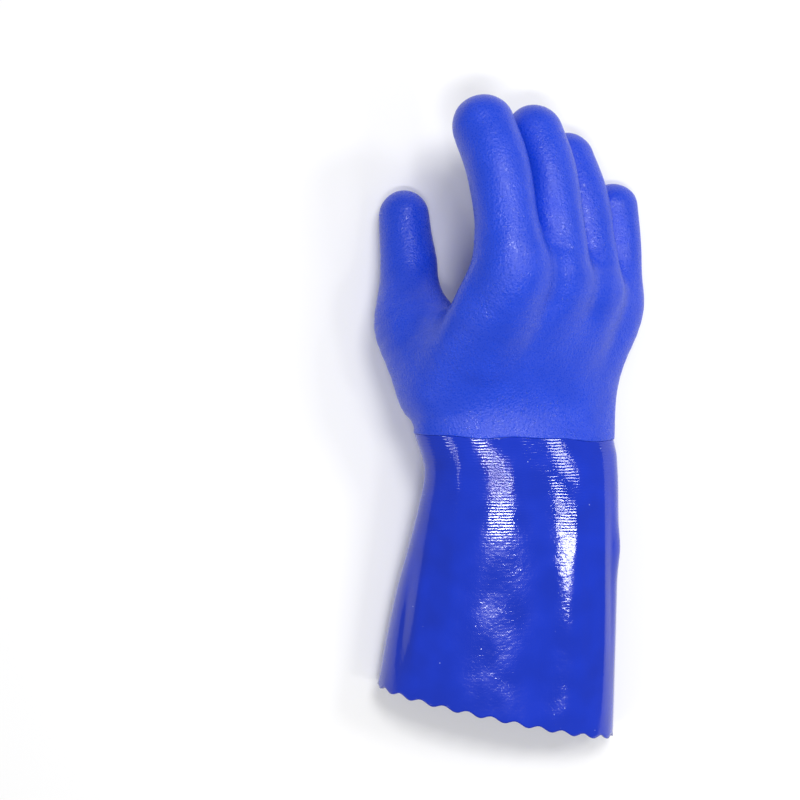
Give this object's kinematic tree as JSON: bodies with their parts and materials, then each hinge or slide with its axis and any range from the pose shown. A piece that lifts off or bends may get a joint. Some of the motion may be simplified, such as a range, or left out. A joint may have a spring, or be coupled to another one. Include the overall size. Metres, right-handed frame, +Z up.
{
  "type": "pvc coated work glove",
  "caption": "Right-hand gauntlet work glove with a grainy coated hand, hollow digits and a long glossy cuff with a scalloped hem, lying back up.",
  "frame": {"origin": "middle of the glove's box on the surface that it lies on", "axes": "+Z up, +Y from the cuff to the fingertips, thumb towards -X"},
  "size_m": [0.13, 0.3066, 0.0908],
  "materials": {
    "grainy_vinyl": "satin, sandy grain",
    "glossy_vinyl": "gloss over fine knit ribs"
  },
  "bodies": {
    "root": {"hand_shell": "grainy_vinyl", "gauntlet": "glossy_vinyl"}
  },
  "joints": []
}
